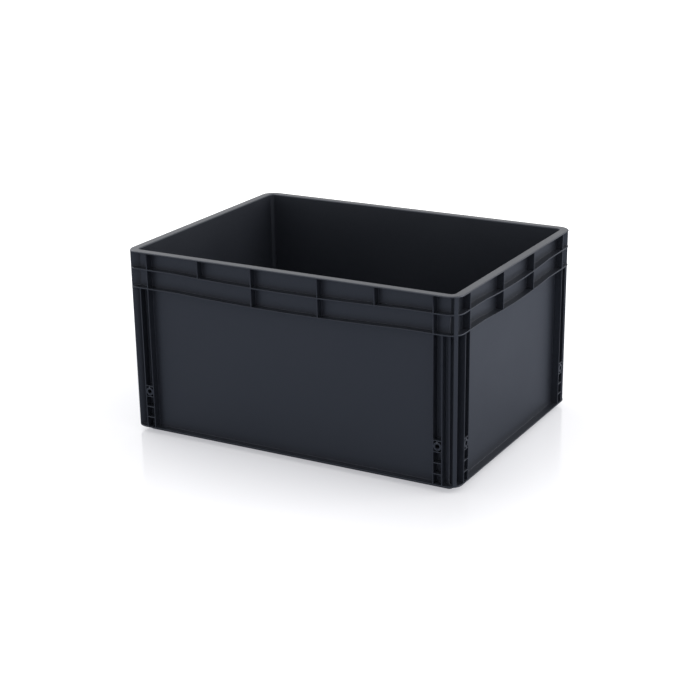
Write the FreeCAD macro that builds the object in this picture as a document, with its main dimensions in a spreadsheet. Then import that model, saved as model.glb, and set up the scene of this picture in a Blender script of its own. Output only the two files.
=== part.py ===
import FreeCAD, Part
import math
import os
import Sketcher

# An open-topped stacking box, moulded in one piece.
# The long sides face -Y and +Y, the origin is the middle of the footprint on the ground, and Z is up.

SIZES = [
    ("overall_length", 800.0, "Length over the rim"),
    ("overall_width", 600.0, "Width over the rim"),
    ("overall_height", 420.0, "Height from the ground to the rim's top"),
    ("corner_radius", 30.0, "Outer corner radius of the rim and the ribs"),
    ("outer_draft", 0.28, "Lean of the ribs' outer edges, in degrees: the box narrows towards the ground"),
    ("rim_width", 20.0, "Width of the rim's top face"),
    ("rim_thickness", 3.0, "Thickness of the rim flange"),
    ("rim_edge_radius", 2.5, "Rounding of the rim's two top edges"),
    ("wall_thickness", 3.0, "Thickness of the four walls"),
    ("wall_draft", 0.28, "Lean of the walls, in degrees"),
    ("foot_height", 12.5, "Height of the stacking foot under the base flange"),
    ("foot_inset", 24.0, "Distance from the rim's edge in to the foot, so that the foot enters an open rim"),
    ("foot_draft", 4.0, "Lean of the foot's sides, in degrees"),
    ("foot_corner_radius", 9.0, "Corner radius of the foot"),
    ("foot_edge_radius", 1.5, "Rounding of the foot's lower edge"),
    ("foot_wall", 3.5, "Thickness of the foot's wall"),
    ("flange_thickness", 3.0, "Thickness of the base flange that joins the lower ends of the ribs"),
    ("ledge_level", 17.0, "Height of the step where the inside narrows into the foot"),
    ("floor_recess", 5.0, "Depth of the hollows under the floor"),
    ("floor_thickness", 3.5, "Thickness of the floor"),
    ("floor_fillet", 3.0, "Rounding inside, where the floor meets the foot's wall"),
    ("floor_rib_thickness", 3.0, "Thickness of the ribs under the floor"),
    ("floor_rib_pitch_along", 186.0, "Distance between the floor's crosswise ribs"),
    ("floor_rib_pitch_across", 137.0, "Distance between the floor's lengthwise ribs"),
    ("band_rib_thickness", 2.8, "Thickness of the two horizontal ribs under the rim"),
    ("upper_rib_drop", 39.0, "From the rim's top down to the middle of the upper rib, at the corners"),
    ("lower_rib_drop", 81.5, "From the rim's top down to the middle of the lower rib, at the corners"),
    ("rib_bow", 6.0, "How far both horizontal ribs dip in the middle of each side"),
    ("bow_half_length_long", 275.0, "Half the length of the dip on a long side"),
    ("bow_half_length_short", 165.0, "Half the length of the dip on a short side"),
    ("rib_thickness", 2.5, "Thickness of the upright ribs"),
    ("band_rib_offset", 80.0, "From the middle of a side to the two ribs that cross the whole band"),
    ("upper_cell_offset", 212.5, "From the middle of a long side to the two ribs in the band's upper row"),
    ("corner_rib_offset", 56.0, "From the rim's corner in to the rib that ends the panel"),
    ("channel_pitch", 20.0, "From that rib to the next one towards the corner"),
    ("post_width", 9.0, "Width of the post on each corner's diagonal"),
    ("rung_pitch", 24.5, "Distance between the rungs in a corner channel"),
    ("rung_thickness", 2.2, "Thickness of a rung"),
    ("ring_radius", 9.2, "Outer radius of the ring in the top cell of a channel"),
    ("ring_hole_radius", 5.0, "Radius of the hole in that ring"),
    ("ring_link_thickness", 2.5, "Thickness of the short webs above and below that ring"),
]
RUNG_COUNT = 4
OVERRUN = 5.0
FLAT = 0.000001

doc = FreeCAD.newDocument("tote_box")
sheet = doc.addObject("Spreadsheet::Sheet", "Sizes")
for row, (alias, value, meaning) in enumerate(SIZES, start=1):
    sheet.set(f"A{row}", meaning)
    sheet.set(f"B{row}", str(value))
    sheet.setAlias(f"B{row}", alias)
doc.recompute()


def bind(item, prop, formula):
    """Ties a property to the sheet: words in the formula that are aliases read their cells."""
    words = sorted((alias for alias, _, _ in SIZES), key=len, reverse=True)
    tied = formula
    for index, word in enumerate(words):
        tied = tied.replace(word, f"<{index}>")
    for index, word in enumerate(words):
        tied = tied.replace(f"<{index}>", f"Sizes.{word}")
    item.setExpression(prop, tied)


def number(formula):
    """The value that a formula of sheet names has now."""
    return float(sheet.evalExpression(formula))


HALF_LENGTH = "overall_length / 2"
HALF_WIDTH = "overall_width / 2"
RIM_UNDERSIDE = "(overall_height - rim_thickness)"
RECESS = "(rim_width - wall_thickness)"
INNER_RADIUS = "(corner_radius - rim_width)"
WALL_RADIUS = "(corner_radius - rim_width + wall_thickness)"
FLOOR_TOP = "(floor_recess + floor_thickness)"
FOOT_TOP = "(foot_height + flange_thickness / 2)"
FOOT_INSIDE = "(foot_inset + foot_wall)"
FOOT_INNER_RADIUS = "(foot_corner_radius - foot_wall)"


def rounded_outline(body, name, inset, radius, level):
    """A rounded rectangle about the Z axis, set in from the rim's outline, at a height."""
    sketch = body.newObject("Sketcher::SketchObject", name)
    ground = next(plane for plane in body.Origin.OriginFeatures if plane.Role == "XY_Plane")
    sketch.AttachmentSupport = [(ground, "")]
    sketch.MapMode = "FlatFace"
    bind(sketch, "AttachmentOffset.Base.z", level)
    half_x = number(f"{HALF_LENGTH} - {inset}")
    half_y = number(f"{HALF_WIDTH} - {inset}")
    r = number(radius)
    arcs = []
    for turn, (side_x, side_y) in enumerate(((1, 1), (-1, 1), (-1, -1), (1, -1))):
        centre = FreeCAD.Vector(side_x * (half_x - r), side_y * (half_y - r), 0)
        circle = Part.Circle(centre, FreeCAD.Vector(0, 0, 1), r)
        quarter = math.pi / 2
        arcs.append(sketch.addGeometry(Part.ArcOfCircle(circle, turn * quarter, (turn + 1) * quarter)))
    lines = []
    for arc, after, direction in zip(arcs, arcs[1:] + arcs[:1], ("Horizontal", "Vertical") * 2):
        a = sketch.Geometry[arc].EndPoint
        b = sketch.Geometry[after].StartPoint
        line = sketch.addGeometry(Part.LineSegment(a, b))
        sketch.addConstraint(Sketcher.Constraint("Tangent", arc, 2, line, 1))
        sketch.addConstraint(Sketcher.Constraint("Tangent", line, 2, after, 1))
        sketch.addConstraint(Sketcher.Constraint(direction, line))
        lines.append(line)
    top, left, bottom, right = lines
    for arc in arcs[1:]:
        sketch.addConstraint(Sketcher.Constraint("Equal", arcs[0], arc))
    sketch.addConstraint(Sketcher.Constraint("Symmetric", top, 1, bottom, 1, -1, 1))
    radius_at = sketch.addConstraint(Sketcher.Constraint("Radius", arcs[0], r))
    length_at = sketch.addConstraint(Sketcher.Constraint("DistanceX", left, 1, right, 1, 2 * half_x))
    width_at = sketch.addConstraint(Sketcher.Constraint("DistanceY", bottom, 1, top, 1, 2 * half_y))
    sketch.renameConstraint(radius_at, "radius")
    sketch.renameConstraint(length_at, "span_x")
    sketch.renameConstraint(width_at, "span_y")
    bind(sketch, "Constraints.radius", radius)
    bind(sketch, "Constraints.span_x", f"overall_length - 2 * ({inset})")
    bind(sketch, "Constraints.span_y", f"overall_width - 2 * ({inset})")
    return sketch


def lies_at(item, level):
    """Whether a face or an edge lies level at a height."""
    box = item.BoundBox
    return abs(box.ZMin - level) < FLAT and abs(box.ZMax - level) < FLAT


def faces_at(shape, level):
    """Names of the faces that lie level at a height."""
    return [f"Face{n}" for n, face in enumerate(shape.Faces, start=1) if lies_at(face, level)]


def edges_at(shape, level):
    """Names of the edges that lie level at a height."""
    return [f"Edge{n}" for n, edge in enumerate(shape.Edges, start=1) if lies_at(edge, level)]


def moulded_block(name, inset, radius, high, low, draft):
    """A rounded block between two heights whose sides lean in, from its top down, by the draft."""
    body = doc.addObject("PartDesign::Body", name)
    pad = body.newObject("PartDesign::Pad", f"{name}_pad")
    pad.Profile = rounded_outline(body, f"{name}_outline", inset, radius, high)
    pad.Reversed = True
    bind(pad, "Length", f"{high} - ({low})")
    doc.recompute()
    level = faces_at(pad.Shape, number(high)) + faces_at(pad.Shape, number(low))
    lean = body.newObject("PartDesign::Draft", f"{name}_draft")
    lean.Base = (pad, [f"Face{n}" for n in range(1, len(pad.Shape.Faces) + 1) if f"Face{n}" not in level])
    lean.NeutralPlane = (pad, faces_at(pad.Shape, number(high)))
    lean.Reversed = True
    bind(lean, "Angle", draft)
    doc.recompute()
    return body


def round_low_edges(body, low, radius):
    """Rounds the lower edges of a block."""
    base = body.Tip
    fillet = body.newObject("PartDesign::Fillet", f"{body.Name}_fillet")
    fillet.Base = (base, edges_at(base.Shape, number(low)))
    bind(fillet, "Radius", radius)


def bar(name, corner, size):
    """A straight bar: its lowest corner and its three sizes are formulas of the sheet's names."""
    box = doc.addObject("Part::Box", name)
    for prop, formula in zip(("Length", "Width", "Height"), size):
        bind(box, prop, formula)
    for axis, formula in zip("xyz", corner):
        bind(box, f"Placement.Base.{axis}", formula)
    return box


def joined(name, shapes):
    union = doc.addObject("Part::MultiFuse", name)
    union.Shapes = shapes
    union.Refine = True
    return union


def less(name, base, tool):
    cut = doc.addObject("Part::Cut", name)
    cut.Base = base
    cut.Tool = tool
    cut.Refine = True
    return cut


def along_long_side(name, x, thickness, low, high):
    """An upright rib at x that stands on both long sides: it runs through, and the inside is cut later."""
    corner = (f"{x} - {thickness} / 2", f"-{HALF_WIDTH} - {OVERRUN}", low)
    return bar(name, corner, (thickness, f"overall_width + 2 * {OVERRUN}", f"{high} - ({low})"))


def along_short_side(name, y, thickness, low, high):
    """An upright rib at y that stands on both short sides."""
    corner = (f"-{HALF_LENGTH} - {OVERRUN}", f"{y} - {thickness} / 2", low)
    return bar(name, corner, (f"overall_length + 2 * {OVERRUN}", thickness, f"{high} - ({low})"))


ENDS = [("left", "-1"), ("right", "1")]
SIDE_KINDS = [("long", HALF_LENGTH, along_long_side), ("short", HALF_WIDTH, along_short_side)]


def bowed_profile(name, half_end, half_bow):
    """The outline of both horizontal ribs seen from one side: level at the ends, dipping in the middle."""
    sketch = doc.addObject("Sketcher::SketchObject", name)
    thick = number("band_rib_thickness")
    for rib, drop in (("upper", "upper_rib_drop"), ("lower", "lower_rib_drop")):
        low_level = f"overall_height - {drop} - band_rib_thickness / 2"
        low = number(low_level)
        under = bowed_edge(sketch, f"{rib}_under", low, half_end, half_bow)
        over = bowed_edge(sketch, f"{rib}_over", low + thick, half_end, half_bow)
        left_end = rib_end(sketch, under[0], 1, over[0], 1)
        right_end = rib_end(sketch, under[-1], 2, over[-1], 2)
        tie(sketch, "DistanceX", (left_end, 1, -1, 1), f"{rib}_left_reach", half_end)
        tie(sketch, "DistanceX", (-1, 1, right_end, 1), f"{rib}_right_reach", half_end)
        tie(sketch, "DistanceY", (right_end, 1, right_end, 2), f"{rib}_thickness", "band_rib_thickness")
        tie(sketch, "DistanceY", (-1, 1, left_end, 1), f"{rib}_level", low_level)
    return sketch


def tie(sketch, kind, terms, label, formula):
    """Adds a named dimension to a sketch and binds it to a formula of sheet names."""
    at = sketch.addConstraint(Sketcher.Constraint(kind, *terms, number(formula)))
    sketch.renameConstraint(at, label)
    bind(sketch, f"Constraints.{label}", formula)


def bowed_edge(sketch, label, level, half_end, half_bow):
    """One long edge of a horizontal rib: a level line, the dipping arc and a level line."""
    end = number(half_end)
    span = number(half_bow)
    left_in = FreeCAD.Vector(-span, level, 0)
    right_in = FreeCAD.Vector(span, level, 0)
    dip = FreeCAD.Vector(0, level - number("rib_bow"), 0)
    line = sketch.addGeometry(Part.LineSegment(FreeCAD.Vector(-end, level, 0), left_in))
    arc = sketch.addGeometry(Part.Arc(left_in, dip, right_in))
    last = sketch.addGeometry(Part.LineSegment(right_in, FreeCAD.Vector(end, level, 0)))
    arc_left, arc_right = arc_ends(sketch, arc)
    sketch.addConstraint(Sketcher.Constraint("Coincident", line, 2, arc, arc_left))
    sketch.addConstraint(Sketcher.Constraint("Coincident", arc, arc_right, last, 1))
    sketch.addConstraint(Sketcher.Constraint("Horizontal", line))
    sketch.addConstraint(Sketcher.Constraint("Horizontal", last))
    sketch.addConstraint(Sketcher.Constraint("Symmetric", line, 2, last, 1, -2))
    tie(sketch, "Radius", (arc,), f"{label}_radius", f"(({half_bow}) ^ 2 + rib_bow ^ 2) / (2 * rib_bow)")
    tie(sketch, "DistanceX", (line, 2, last, 1), f"{label}_span", f"2 * ({half_bow})")
    return line, arc, last


def arc_ends(sketch, arc):
    """Which end of an arc is its left one and which its right one, as point numbers."""
    geometry = sketch.Geometry[arc]
    return (1, 2) if geometry.StartPoint.x < geometry.EndPoint.x else (2, 1)


def rib_end(sketch, under, under_point, over, over_point):
    """The upright line that closes a horizontal rib's outline at one end."""
    low = sketch.getPoint(under, under_point)
    high = sketch.getPoint(over, over_point)
    end = sketch.addGeometry(Part.LineSegment(low, high))
    sketch.addConstraint(Sketcher.Constraint("Coincident", under, under_point, end, 1))
    sketch.addConstraint(Sketcher.Constraint("Coincident", over, over_point, end, 2))
    sketch.addConstraint(Sketcher.Constraint("Vertical", end))
    return end


def bowed_ribs(name, half_end, half_bow, half_depth, turn):
    """Both horizontal ribs on one side and, mirrored, on the opposite side."""
    profile = bowed_profile(f"{name}_profile", half_end, half_bow)
    upright = FreeCAD.Rotation(FreeCAD.Vector(1, 0, 0), 90)
    facing = FreeCAD.Rotation(FreeCAD.Vector(0, 0, 1), turn)
    profile.Placement = FreeCAD.Placement(FreeCAD.Vector(0, 0, 0), facing.multiply(upright))
    inside = f"({half_depth} - rim_width - {OVERRUN})"
    if turn == 0:
        bind(profile, "Placement.Base.y", f"-{inside}")
    else:
        bind(profile, "Placement.Base.x", inside)
    strip = doc.addObject("Part::Extrusion", f"{name}_near")
    strip.Base = profile
    strip.DirMode = "Normal"
    strip.Solid = True
    bind(strip, "LengthFwd", f"rim_width + 2 * {OVERRUN}")
    mirrored = doc.addObject("Part::Mirroring", f"{name}_far")
    mirrored.Source = strip
    mirrored.Normal = FreeCAD.Vector(0, 1, 0) if turn == 0 else FreeCAD.Vector(1, 0, 0)
    return [strip, mirrored]


def dipped(drop, offset, half_bow):
    """Height of a horizontal rib's middle at an offset from the middle of its side."""
    return f"(overall_height - {drop} - rib_bow * (1 - ({offset} / {half_bow}) ^ 2))"


def upright_ribs():
    """The upright ribs of the band under the rim, and those that end the panels at the corners."""
    ribs = []
    lower_level = "(overall_height - lower_rib_drop)"
    for side, sign in ENDS:
        offset = f"{sign} * band_rib_offset"
        low = dipped("lower_rib_drop", "band_rib_offset", "bow_half_length_long")
        ribs.append(along_long_side(f"long_band_{side}", offset, "rib_thickness", low, RIM_UNDERSIDE))
        low = dipped("lower_rib_drop", "band_rib_offset", "bow_half_length_short")
        ribs.append(along_short_side(f"short_band_{side}", offset, "rib_thickness", low, RIM_UNDERSIDE))
        low = dipped("upper_rib_drop", "upper_cell_offset", "bow_half_length_long")
        offset = f"{sign} * upper_cell_offset"
        ribs.append(along_long_side(f"long_cell_{side}", offset, "rib_thickness", low, RIM_UNDERSIDE))
        for name, half, place in SIDE_KINDS:
            at = f"{sign} * ({half} - corner_rib_offset)"
            ribs.append(place(f"{name}_panel_end_{side}", at, "rib_thickness", "foot_height", RIM_UNDERSIDE))
            at = f"{sign} * ({half} - corner_rib_offset + channel_pitch)"
            ribs.append(place(f"{name}_channel_end_{side}", at, "rib_thickness", "foot_height", lower_level))
    return ribs


def rung_level(step):
    return f"(foot_height + flange_thickness / 2 + {step} * rung_pitch)"


def channel_rungs():
    """The rungs between the two ribs of each corner channel."""
    rungs = []
    for side, sign in ENDS:
        for name, half, place in SIDE_KINDS:
            middle = f"{sign} * ({half} - corner_rib_offset + channel_pitch / 2)"
            for step in range(1, RUNG_COUNT + 1):
                low = f"{rung_level(step)} - rung_thickness / 2"
                high = f"{rung_level(step)} + rung_thickness / 2"
                rungs.append(place(f"{name}_rung_{side}_{step}", middle, "channel_pitch", low, high))
    return rungs


def channel_rings():
    """The ring in the top cell of each corner channel, with its two links, less its hole."""
    rings = []
    holes = []
    low = rung_level(RUNG_COUNT - 1)
    high = rung_level(RUNG_COUNT)
    level = f"({low} + {high}) / 2"
    for side, sign in ENDS:
        for name, half, place in SIDE_KINDS:
            middle = f"{sign} * ({half} - corner_rib_offset + channel_pitch / 2)"
            rings.append(place(f"{name}_ring_link_{side}", middle, "ring_link_thickness", low, high))
            rings.append(rod_across(name, f"{name}_ring_{side}", "ring_radius", middle, level))
            holes.append(rod_across(name, f"{name}_ring_hole_{side}", "ring_hole_radius", middle, level))
    return less("Channel_rings", joined("Ring_blanks", rings), joined("Ring_holes", holes))


def rod_across(kind, name, radius, place, level):
    """A round rod that runs from one long side, or one short side, to the opposite one."""
    rod = doc.addObject("Part::Cylinder", name)
    bind(rod, "Radius", radius)
    reach = "overall_width" if kind == "long" else "overall_length"
    bind(rod, "Height", f"{reach} + 2 * {OVERRUN}")
    start = f"({reach} / 2 + {OVERRUN})"
    turn = FreeCAD.Vector(1, 0, 0) if kind == "long" else FreeCAD.Vector(0, 1, 0)
    rod.Placement = FreeCAD.Placement(FreeCAD.Vector(0, 0, 0), FreeCAD.Rotation(turn, 90))
    bind(rod, "Placement.Base.x", place if kind == "long" else f"-{start}")
    bind(rod, "Placement.Base.y", start if kind == "long" else place)
    bind(rod, "Placement.Base.z", level)
    return rod


def corner_posts():
    """The post on the diagonal of each corner, from the wall out to the rounded corner."""
    post = doc.addObject("Part::Box", "Post_right_back")
    diagonal = FreeCAD.Rotation(FreeCAD.Vector(0, 0, 1), 45)
    post.Placement = FreeCAD.Placement(FreeCAD.Vector(0, 0, 0), diagonal)
    bind(post, "Length", f"corner_radius + {OVERRUN}")
    bind(post, "Width", "post_width")
    bind(post, "Height", f"{RIM_UNDERSIDE} - foot_height")
    bind(post, "Placement.Base.x", f"{HALF_LENGTH} - corner_radius + post_width / 2 * sin(45 deg)")
    bind(post, "Placement.Base.y", f"{HALF_WIDTH} - corner_radius - post_width / 2 * cos(45 deg)")
    bind(post, "Placement.Base.z", "foot_height")
    left = doc.addObject("Part::Mirroring", "Post_left_back")
    left.Source = post
    left.Normal = FreeCAD.Vector(1, 0, 0)
    back = joined("Posts_back", [post, left])
    front = doc.addObject("Part::Mirroring", "Posts_front")
    front.Source = back
    front.Normal = FreeCAD.Vector(0, 1, 0)
    return [back, front]


def outer_ribwork():
    """All that stands out from the walls, trimmed by the drafted outline with its rounded corners."""
    long_reach = f"{HALF_LENGTH} + {OVERRUN}"
    short_reach = f"{HALF_WIDTH} + {OVERRUN}"
    flange = bar("Base_flange", (f"-{HALF_LENGTH}", f"-{HALF_WIDTH}", "foot_height"),
                 ("overall_length", "overall_width", "flange_thickness"))
    pieces = [flange]
    pieces += bowed_ribs("Long_bowed", long_reach, "bow_half_length_long", HALF_WIDTH, 0)
    pieces += bowed_ribs("Short_bowed", short_reach, "bow_half_length_short", HALF_LENGTH, 90)
    pieces += upright_ribs()
    pieces += channel_rungs()
    pieces.append(channel_rings())
    pieces += corner_posts()
    outline = moulded_block("Outline", "0", "corner_radius", RIM_UNDERSIDE, "foot_height", "outer_draft")
    trimmed = doc.addObject("Part::Common", "Ribwork")
    trimmed.Base = joined("Rib_blanks", pieces)
    trimmed.Tool = outline
    trimmed.Refine = True
    return trimmed


def rim():
    """The rim flange: a flat frame whose two top edges are rounded."""
    body = doc.addObject("PartDesign::Body", "Rim")
    plate = body.newObject("PartDesign::Pad", "Rim_plate")
    plate.Profile = rounded_outline(body, "Rim_outline", "0", "corner_radius", RIM_UNDERSIDE)
    bind(plate, "Length", "rim_thickness")
    opening = body.newObject("PartDesign::Pocket", "Rim_opening")
    opening.Profile = rounded_outline(body, "Opening_outline", "rim_width", INNER_RADIUS, "overall_height")
    opening.Type = "ThroughAll"
    doc.recompute()
    rounding = body.newObject("PartDesign::Fillet", "Rim_rounding")
    rounding.Base = (opening, edges_at(opening.Shape, number("overall_height")))
    bind(rounding, "Radius", "rim_edge_radius")
    return body


def inner_hollow():
    """The space inside: the main hollow down to the ledge, and the narrower one in the foot."""
    main = moulded_block("Hollow", "rim_width", INNER_RADIUS, RIM_UNDERSIDE, "ledge_level", "wall_draft")
    inset = FOOT_INSIDE
    well = moulded_block("Foot_hollow", inset, FOOT_INNER_RADIUS, "ledge_level", FLOOR_TOP, "foot_draft")
    round_low_edges(well, FLOOR_TOP, "floor_fillet")
    return [main, well]


def floor_hollows():
    """The shallow hollows under the floor, between its ribs."""
    under = f"(-{OVERRUN})"
    inset = FOOT_INSIDE
    blank = moulded_block("Floor_recess", inset, FOOT_INNER_RADIUS, "floor_recess", under, "foot_draft")
    low = f"(-2 * {OVERRUN})"
    high = f"(floor_recess + {OVERRUN})"
    ribs = []
    for side, step in (*ENDS, ("middle", "0")):
        x = f"({step} * floor_rib_pitch_along)"
        y = f"({step} * floor_rib_pitch_across)"
        ribs.append(along_long_side(f"Floor_crosswise_{side}", x, "floor_rib_thickness", low, high))
        ribs.append(along_short_side(f"Floor_lengthwise_{side}", y, "floor_rib_thickness", low, high))
    return less("Floor_hollows", blank, joined("Floor_ribs", ribs))


def tote_box():
    """The whole box: walls, ribwork, foot and rim, hollowed in one go."""
    walls = moulded_block("Walls", RECESS, WALL_RADIUS, RIM_UNDERSIDE, "foot_height", "wall_draft")
    foot = moulded_block("Foot", "foot_inset", "foot_corner_radius", FOOT_TOP, "0", "foot_draft")
    round_low_edges(foot, "0", "foot_edge_radius")
    solid = joined("Solid_body", [walls, outer_ribwork(), foot])
    tub = less("Tub", solid, joined("Hollows", inner_hollow() + [floor_hollows()]))
    box = joined("Tote_box", [tub, rim()])
    box.Label = "tote_box"
    return box


part = tote_box()
doc.recompute()

for item in doc.Objects:
    if "Invalid" in item.State or "Error" in item.State:
        raise RuntimeError(f"{item.Name} failed: {item.State}")
if part.Shape.isNull() or not part.Shape.isValid() or len(part.Shape.Solids) != 1:
    raise RuntimeError("the box isn't one valid solid")

os.makedirs("parts", exist_ok=True)
part.Shape.exportStep(f"parts/{part.Label}.step")
print(f"{part.Label}: one valid solid, {part.Shape.Volume / 1e6:.4f} dm3, {len(part.Shape.Faces)} faces")
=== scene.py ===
import math
import bmesh
import bpy
from bpy.props import FloatProperty, FloatVectorProperty, IntProperty, PointerProperty
from bpy.types import Operator, Panel, PropertyGroup
from mathutils import Matrix, Vector


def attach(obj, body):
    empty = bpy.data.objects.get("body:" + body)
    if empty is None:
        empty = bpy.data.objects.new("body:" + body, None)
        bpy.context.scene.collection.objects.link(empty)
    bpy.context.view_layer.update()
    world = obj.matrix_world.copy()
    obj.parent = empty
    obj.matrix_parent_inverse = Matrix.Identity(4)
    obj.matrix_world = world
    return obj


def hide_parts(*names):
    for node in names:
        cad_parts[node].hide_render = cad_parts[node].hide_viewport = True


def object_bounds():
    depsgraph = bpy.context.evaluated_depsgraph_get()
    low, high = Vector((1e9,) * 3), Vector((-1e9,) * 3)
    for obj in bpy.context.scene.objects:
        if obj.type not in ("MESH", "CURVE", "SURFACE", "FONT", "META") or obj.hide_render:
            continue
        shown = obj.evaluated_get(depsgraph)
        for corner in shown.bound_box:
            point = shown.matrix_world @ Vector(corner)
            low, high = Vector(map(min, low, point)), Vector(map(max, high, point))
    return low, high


bl_info = {
    "name": "Stacking tote",
    "version": (1, 0, 0),
    "blender": (4, 5, 0),
    "location": "View3D > Sidebar > Tote",
    "description": "Builds the looks of a black conductive stacking tote around its CAD model",
    "category": "Object",
}

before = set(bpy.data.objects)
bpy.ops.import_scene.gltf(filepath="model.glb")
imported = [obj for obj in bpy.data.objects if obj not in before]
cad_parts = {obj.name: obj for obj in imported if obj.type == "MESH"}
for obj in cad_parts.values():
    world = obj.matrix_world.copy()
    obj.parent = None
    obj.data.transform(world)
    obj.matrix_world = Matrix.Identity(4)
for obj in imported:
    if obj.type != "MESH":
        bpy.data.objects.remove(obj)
CAD_BOX = [list(corner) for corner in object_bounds()]
NODE = "tote_box"

# Points nearer than this, in metres, are one point
MERGE_DISTANCE = 0.000002
# Faces whose planes differ by less than this are one face
FLAT_ANGLE = math.radians(0.1)
# Two edges that meet in a smaller angle than this stay sharp
NARROW_ANGLE = math.radians(40.0)
# An edge shorter than this many times the edge radius stays sharp
SHORT_EDGE = 3.0
# Faces with more corners than this are cut into triangles
MOST_CORNERS = 16

# Places of the colour sockets on a Mix node
MIX_FIRST, MIX_SECOND, MIX_RESULT = 6, 7, 2
BLACK = (0.0, 0.0, 0.0, 1.0)
WHITE = (1.0, 1.0, 1.0, 1.0)
CLOUD_DETAIL = 3.0
GRAIN_DETAIL = 2.0
NOISE_MIDDLE = 0.5
PAPER_ROUGHNESS = 0.9
FLOOR_DROP = 0.0002
SENSOR_WIDTH = 36.0


# Shader nodes

class Wire:
    """An output of a shader node that takes part in arithmetic. Each operator adds one Math node."""

    def __init__(self, tree, socket):
        self.tree = tree
        self.socket = socket

    def node(self, kind, feeds, output=0, **settings):
        """Adds a node of any kind, feeds its inputs and gives one of its outputs."""
        made = self.tree.nodes.new(kind)
        for name, value in settings.items():
            setattr(made, name, value)
        for name, value in feeds.items():
            if isinstance(value, Wire):
                self.tree.links.new(value.socket, made.inputs[name])
            else:
                made.inputs[name].default_value = value
        return Wire(self.tree, made.outputs[output])

    def mix(self, first, second):
        """A colour that goes from the first to the second as this output goes from 0 to 1."""
        feeds = {0: self, MIX_FIRST: first, MIX_SECOND: second}
        return self.node("ShaderNodeMix", feeds, MIX_RESULT, data_type="RGBA")

    def math(self, operation, first, second):
        return self.node("ShaderNodeMath", {0: first, 1: second}, operation=operation)

    def __add__(self, other):
        return self.math("ADD", self, other)

    def __radd__(self, other):
        return self.math("ADD", other, self)

    def __sub__(self, other):
        return self.math("SUBTRACT", self, other)

    def __rsub__(self, other):
        return self.math("SUBTRACT", other, self)

    def __mul__(self, other):
        return self.math("MULTIPLY", self, other)

    def __rmul__(self, other):
        return self.math("MULTIPLY", other, self)


def new_material(name):
    """A material with no nodes but its output, with its node tree and that node."""
    material = bpy.data.materials.new(name)
    material.use_nodes = True
    tree = material.node_tree
    tree.nodes.clear()
    output = tree.nodes.new("ShaderNodeOutputMaterial")
    return material, tree, output


def object_place(tree):
    """The place of a shaded point in its object's own coordinates."""
    return Wire(tree, tree.nodes.new("ShaderNodeTexCoord").outputs["Object"])


def seen_by_camera(tree):
    """1 for what the camera sees straight, 0 for reflections and thrown light."""
    return Wire(tree, tree.nodes.new("ShaderNodeLightPath").outputs["Is Camera Ray"])


def plastic(look):
    """Moulded conductive plastic: nearly black, with a fine grain and a slightly uneven sheen."""
    material, tree, output = new_material("conductive_plastic")
    place = object_place(tree)
    clouds = {"Vector": place, "Scale": look.cloud_scale, "Detail": CLOUD_DETAIL}
    grains = {"Vector": place, "Scale": look.grain_scale, "Detail": GRAIN_DETAIL}
    cloud = place.node("ShaderNodeTexNoise", clouds)
    grain = place.node("ShaderNodeTexNoise", grains)
    uneven = (cloud - NOISE_MIDDLE) * look.cloud_contrast
    bump = grain.node("ShaderNodeBump", {"Strength": 1.0, "Distance": look.grain_height, "Height": grain})
    surface = tree.nodes.new("ShaderNodeBsdfPrincipled")
    surface.inputs["Base Color"].default_value = (*look.colour, 1.0)
    surface.inputs["IOR"].default_value = look.ior
    surface.inputs["Specular Tint"].default_value = (*look.reflection_tint, 1.0)
    tree.links.new((uneven + look.roughness).socket, surface.inputs["Roughness"])
    tree.links.new(bump.socket, surface.inputs["Normal"])
    tree.links.new(surface.outputs[0], output.inputs["Surface"])
    return material


def paper(look):
    """The floor: pale paper with a mirror sheen near the box; a painted glow, seen by the camera only,
    lifts its shade, to all white away from the box.
    """
    material, tree, output = new_material("floor")
    seen = seen_by_camera(tree)
    away = steps_from_box(object_place(tree), look.sheen_reach)
    # Painted light: the glow that only the camera sees grows from its own colour near the box to all white
    # far off, so the box's shadow stays close by and is washed out further away
    far = away.node("ShaderNodeMapRange", {"Value": away, "From Min": 1.0, "From Max": look.white_from})
    shade = seen.mix((*look.floor_reflected, 1.0), (*look.floor_colour, 1.0))
    glow = seen.mix(BLACK, far.mix((*look.floor_glow, 1.0), WHITE))
    share = away.node("ShaderNodeMapRange", {"Value": away, "To Min": look.sheen, "To Max": 0.0}) * seen
    surface = tree.nodes.new("ShaderNodeBsdfPrincipled")
    surface.inputs["Emission Strength"].default_value = 1.0
    surface.inputs["Roughness"].default_value = PAPER_ROUGHNESS
    surface.inputs["Specular IOR Level"].default_value = 0.0
    sheen = tree.nodes.new("ShaderNodeBsdfGlossy")
    sheen.inputs["Roughness"].default_value = look.sheen_roughness
    mixed = tree.nodes.new("ShaderNodeMixShader")
    tree.links.new(shade.socket, surface.inputs["Base Color"])
    tree.links.new(glow.socket, surface.inputs["Emission Color"])
    tree.links.new(share.socket, mixed.inputs[0])
    tree.links.new(surface.outputs[0], mixed.inputs[1])
    tree.links.new(sheen.outputs[0], mixed.inputs[2])
    tree.links.new(mixed.outputs[0], output.inputs["Surface"])
    return material


def steps_from_box(place, reach):
    """How far a point lies outside the box's footprint, as a multiple of the reach in X and in Y."""
    low, high = CAD_BOX
    half = ((high[0] - low[0]) / 2, (high[1] - low[1]) / 2, 1.0)
    mirrored = place.node("ShaderNodeVectorMath", {0: place}, operation="ABSOLUTE")
    past = place.node("ShaderNodeVectorMath", {0: mirrored, 1: half}, operation="SUBTRACT")
    outside = place.node("ShaderNodeVectorMath", {0: past, 1: (0.0, 0.0, 0.0)}, operation="MAXIMUM")
    share = place.node("ShaderNodeVectorMath", {0: outside, 1: (*reach, 1.0)}, operation="DIVIDE")
    return place.node("ShaderNodeVectorMath", {0: share}, "Value", operation="LENGTH")


# Properties

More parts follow.
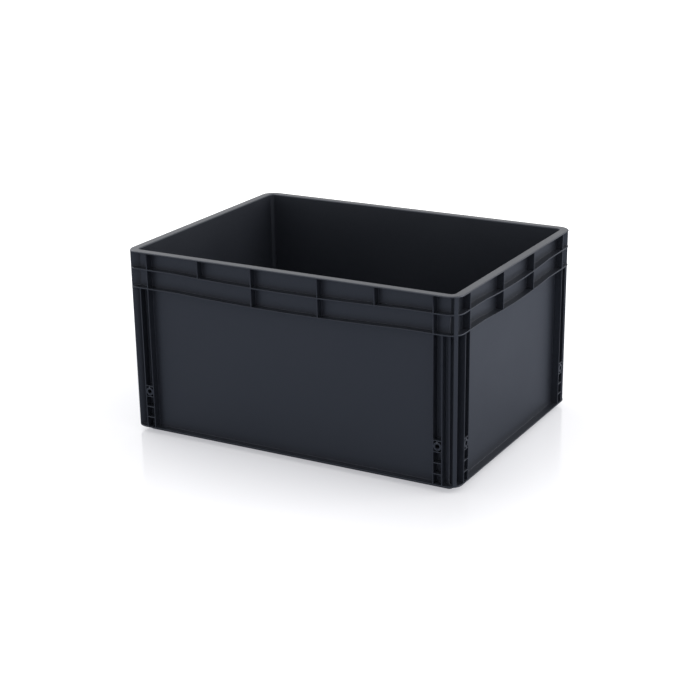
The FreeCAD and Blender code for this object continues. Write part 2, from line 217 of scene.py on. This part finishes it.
class ToteLook(PropertyGroup):
    edge_radius: FloatProperty(
        name="Edge radius",
        description="Rounding of the moulding's edges",
        default=0.0006,
        min=0.0,
        unit="LENGTH",
    )
    edge_segments: IntProperty(
        name="Edge segments", description="Facets across each rounded edge", default=2, min=1
    )
    crease_angle: FloatProperty(
        name="Crease angle",
        description="Edges sharper than this are rounded",
        default=math.radians(35.0),
        subtype="ANGLE",
    )
    colour: FloatVectorProperty(
        name="Colour",
        description="Colour of the plastic",
        default=(0.009, 0.0103, 0.014),
        subtype="COLOR",
    )
    ior: FloatProperty(
        name="Refractive index", description="Strength of the plastic's reflection", default=1.6
    )
    reflection_tint: FloatVectorProperty(
        name="Reflection tint",
        description="Tint of what the plastic reflects straight back",
        default=(0.8, 0.86, 1.0),
        subtype="COLOR",
    )
    roughness: FloatProperty(
        name="Roughness", description="Middle roughness of the plastic", default=0.43, min=0.0, max=1.0
    )
    cloud_scale: FloatProperty(
        name="Cloud scale", description="How many uneven patches lie in a metre", default=6.0
    )
    cloud_contrast: FloatProperty(
        name="Cloud contrast", description="How far the sheen varies between patches", default=0.12
    )
    grain_scale: FloatProperty(
        name="Grain scale",
        description="How many grains of the moulded texture lie in a metre",
        default=700.0,
    )
    grain_height: FloatProperty(
        name="Grain height", description="Height of the moulded texture", default=0.00003, unit="LENGTH"
    )


class StageLook(PropertyGroup):
    floor_side: FloatProperty(
        name="Floor side", description="Side of the square floor", default=40.0, unit="LENGTH"
    )
    floor_colour: FloatVectorProperty(
        name="Floor colour",
        description="Colour of the floor as the camera sees it",
        default=(0.45, 0.45, 0.45),
        subtype="COLOR",
    )
    floor_reflected: FloatVectorProperty(
        name="Floor in reflections",
        description="Colour of the floor in what the box reflects",
        default=(0.32, 0.343, 0.395),
        subtype="COLOR",
    )
    # Painted light: a glow that only the camera sees; it lifts the floor's shade and lights nothing else
    floor_glow: FloatVectorProperty(
        name="Floor glow",
        description="Light that the camera sees from the floor besides what it throws back",
        default=(0.515, 0.517, 0.545),
        subtype="COLOR",
    )
    sheen: FloatProperty(
        name="Floor sheen",
        description="Share of mirror image in the floor beside the box",
        default=0.2,
    )
    sheen_reach: FloatVectorProperty(
        name="Sheen reach",
        description="How far the sheen ends past the short and the long sides",
        default=(0.19, 0.31),
        size=2,
        unit="LENGTH",
    )
    # Past this the painted glow makes the floor all white, whatever shade falls there
    white_from: FloatProperty(
        name="White from",
        description="Where the floor is all white, as a multiple of the sheen's reach",
        default=6.0,
    )
    sheen_roughness: FloatProperty(
        name="Sheen roughness", description="Blur of the mirror image in the floor", default=0.12
    )
    sky: FloatProperty(
        name="Surroundings", description="Brightness of the white surroundings", default=1.15, min=0.0
    )
    key_power: FloatProperty(
        name="Key light", description="Power of the large light", default=120.0, unit="POWER"
    )
    key_side: FloatProperty(
        name="Key light side", description="Side of the large square light", default=3.2, unit="LENGTH"
    )
    key_place: FloatVectorProperty(
        name="Key light place",
        description="Where the large light stands",
        default=(3.9, 1.3, 2.2),
        subtype="TRANSLATION",
        unit="LENGTH",
    )
    fill_power: FloatProperty(
        name="Fill light", description="Power of the light at the back left", default=60.0, unit="POWER"
    )
    fill_side: FloatProperty(
        name="Fill light side", description="Side of the square fill light", default=3.0, unit="LENGTH"
    )
    fill_place: FloatVectorProperty(
        name="Fill light place",
        description="Where the fill light stands",
        default=(-3.6, 1.1, 2.6),
        subtype="TRANSLATION",
        unit="LENGTH",
    )
    azimuth: FloatProperty(
        name="Azimuth",
        description="Turn of the camera round the box",
        default=math.radians(29.03),
        subtype="ANGLE",
    )
    elevation: FloatProperty(
        name="Elevation",
        description="Height of the camera above the horizon",
        default=math.radians(18.99),
        subtype="ANGLE",
    )
    roll: FloatProperty(
        name="Roll",
        description="Turn of the camera about its own axis",
        default=math.radians(-0.77),
        subtype="ANGLE",
    )
    distance: FloatProperty(
        name="Distance", description="From the camera to the box's middle", default=3.702, unit="LENGTH"
    )
    aside: FloatProperty(
        name="Aside",
        description="How far the camera stands to the right of the box's middle",
        default=-0.0082,
        unit="LENGTH",
    )
    above: FloatProperty(
        name="Above",
        description="How far the camera stands above the box's middle",
        default=-0.0474,
        unit="LENGTH",
    )
    lens: FloatProperty(
        name="Lens", description="Focal length on a 36 mm wide sensor", default=84.67, unit="CAMERA"
    )


# Pieces

def cusps(corner, edges):
    """The edges, of those given, that meet another one in a narrow angle at a corner."""
    found = set()
    rays = [((edge.other_vert(corner).co - corner.co).normalized(), edge) for edge in edges]
    for first, (ray, edge) in enumerate(rays):
        for other, neighbour in rays[first + 1:]:
            if ray.angle(other) < NARROW_ANGLE:
                found.update((edge, neighbour))
    return found


def moulded_form(look):
    """A copy of the CAD model with its flat faces made whole and the edges to round marked."""
    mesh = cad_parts[NODE].data.copy()
    mesh.name = "tote_body"
    mesh.materials.clear()
    form = bmesh.new()
    form.from_mesh(mesh)
    bmesh.ops.remove_doubles(form, verts=form.verts, dist=MERGE_DISTANCE)
    bmesh.ops.dissolve_limit(form, angle_limit=FLAT_ANGLE, verts=form.verts, edges=form.edges)
    if not form.faces:
        raise RuntimeError("the CAD model gave no faces")
    weight = form.edges.layers.float.new("bevel_weight_edge")
    sharp = {edge for edge in form.edges if edge.calc_face_angle() > look.crease_angle}
    left = {edge for edge in sharp if edge.calc_length() < SHORT_EDGE * look.edge_radius}
    for corner in form.verts:
        left |= cusps(corner, [edge for edge in corner.link_edges if edge in sharp])
    rounded = sharp - left
    for edge in form.edges:
        edge.smooth = edge not in left
        edge[weight] = 1.0 if edge in rounded else 0.0
    many = [face for face in form.faces if len(face.verts) > MOST_CORNERS]
    bmesh.ops.triangulate(form, faces=many)
    for face in form.faces:
        face.smooth = True
    form.to_mesh(mesh)
    form.free()
    return mesh


class TOTE_OT_body(Operator):
    """Builds the box with its rounded edges from the CAD model's form"""

    bl_idname = "tote.body"
    bl_label = "Tote body"

    def execute(self, context):
        look = context.scene.tote_look
        mesh = moulded_form(look)
        mesh.materials.append(plastic(look))
        body = bpy.data.objects.new("tote_body", mesh)
        context.scene.collection.objects.link(body)
        bevel = body.modifiers.new("rounded_edges", "BEVEL")
        bevel.width = look.edge_radius
        bevel.segments = look.edge_segments
        bevel.limit_method = "WEIGHT"
        bevel.use_clamp_overlap = False
        weld = body.modifiers.new("joined_points", "WELD")
        weld.merge_threshold = MERGE_DISTANCE
        flat = body.modifiers.new("flat_faces", "WEIGHTED_NORMAL")
        flat.keep_sharp = True
        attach(body, "root")
        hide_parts(NODE)
        return {"FINISHED"}


class TOTE_OT_stage(Operator):
    """Lays the floor, lights the box and places the camera"""

    bl_idname = "tote.stage"
    bl_label = "Stage"

    def execute(self, context):
        look = context.scene.stage_look
        lay_floor(context, look)
        light(context, look)
        place_camera(context, look)
        return {"FINISHED"}


def lay_floor(context, look):
    """A square floor just under the box."""
    half = look.floor_side / 2
    corners = [(-half, -half, 0), (half, -half, 0), (half, half, 0), (-half, half, 0)]
    mesh = bpy.data.meshes.new("floor")
    mesh.from_pydata(corners, [], [(0, 1, 2, 3)])
    mesh.materials.append(paper(look))
    floor = bpy.data.objects.new("floor", mesh)
    floor.location.z = -FLOOR_DROP
    context.scene.collection.objects.link(floor)


def light(context, look):
    """White surroundings, a large soft light at the right and a weaker one at the back left."""
    world = bpy.data.worlds.new("surroundings")
    world.use_nodes = True
    context.scene.world = world
    tree = world.node_tree
    tree.nodes.clear()
    output = tree.nodes.new("ShaderNodeOutputWorld")
    seen = seen_by_camera(tree)
    strength = seen * (1.0 - look.sky) + look.sky
    back = seen.node("ShaderNodeBackground", {"Color": WHITE, "Strength": strength})
    tree.links.new(back.socket, output.inputs["Surface"])
    soft_light(context, "key", look.key_place, look.key_side, look.key_power)
    soft_light(context, "fill", look.fill_place, look.fill_side, look.fill_power)


def soft_light(context, name, place, side, power):
    """A square light that faces the box and isn't itself seen by the camera."""
    lamp = bpy.data.lights.new(name, "AREA")
    lamp.shape = "SQUARE"
    lamp.size = side
    lamp.energy = power
    holder = bpy.data.objects.new(name, lamp)
    holder.location = place
    holder.rotation_mode = "QUATERNION"
    holder.rotation_quaternion = Vector(place).to_track_quat("Z", "Y")
    holder.visible_camera = False
    context.scene.collection.objects.link(holder)


def place_camera(context, look):
    """The camera, which looks at the box's middle from the given angles and is then slid aside and up."""
    data = bpy.data.cameras.new("camera")
    data.sensor_width = SENSOR_WIDTH
    data.lens = look.lens
    camera = bpy.data.objects.new("camera", data)
    reach = math.cos(look.elevation)
    level = Vector((math.cos(look.azimuth), math.sin(look.azimuth), 0.0))
    back = Vector((reach * level.y, -reach * level.x, math.sin(look.elevation)))
    upright = back.cross(level)
    right = math.cos(look.roll) * level + math.sin(look.roll) * upright
    up = math.cos(look.roll) * upright - math.sin(look.roll) * level
    low, high = (Vector(corner) for corner in CAD_BOX)
    middle = (low + high) / 2
    turned = Matrix((right, up, back)).transposed()
    camera.rotation_mode = "QUATERNION"
    camera.rotation_quaternion = turned.to_quaternion()
    camera.location = middle + look.aside * right + look.above * up + look.distance * back
    context.scene.collection.objects.link(camera)
    context.scene.camera = camera


class TOTE_PT_panel(Panel):
    """The tote's sizes, colours and builders"""

    bl_label = "Stacking tote"
    bl_idname = "TOTE_PT_panel"
    bl_space_type = "VIEW_3D"
    bl_region_type = "UI"
    bl_category = "Tote"

    def draw(self, context):
        for look in (context.scene.tote_look, context.scene.stage_look):
            box = self.layout.box()
            for name in look.__annotations__:
                box.prop(look, name)
        for builder in (TOTE_OT_body, TOTE_OT_stage):
            self.layout.operator(builder.bl_idname)


CLASSES = (ToteLook, StageLook, TOTE_OT_body, TOTE_OT_stage, TOTE_PT_panel)


def register():
    """Adds the classes and the two groups of properties to Blender."""
    for item in CLASSES:
        bpy.utils.register_class(item)
    bpy.types.Scene.tote_look = PointerProperty(type=ToteLook)
    bpy.types.Scene.stage_look = PointerProperty(type=StageLook)


def unregister():
    """Takes away what register adds."""
    del bpy.types.Scene.stage_look
    del bpy.types.Scene.tote_look
    for item in reversed(CLASSES):
        bpy.utils.unregister_class(item)


def main():
    """Builds the box and the stage."""
    register()
    bpy.ops.tote.body()
    bpy.ops.tote.stage()
    bpy.context.scene.view_settings.view_transform = "Standard"


if __name__ == "__main__":
    main()
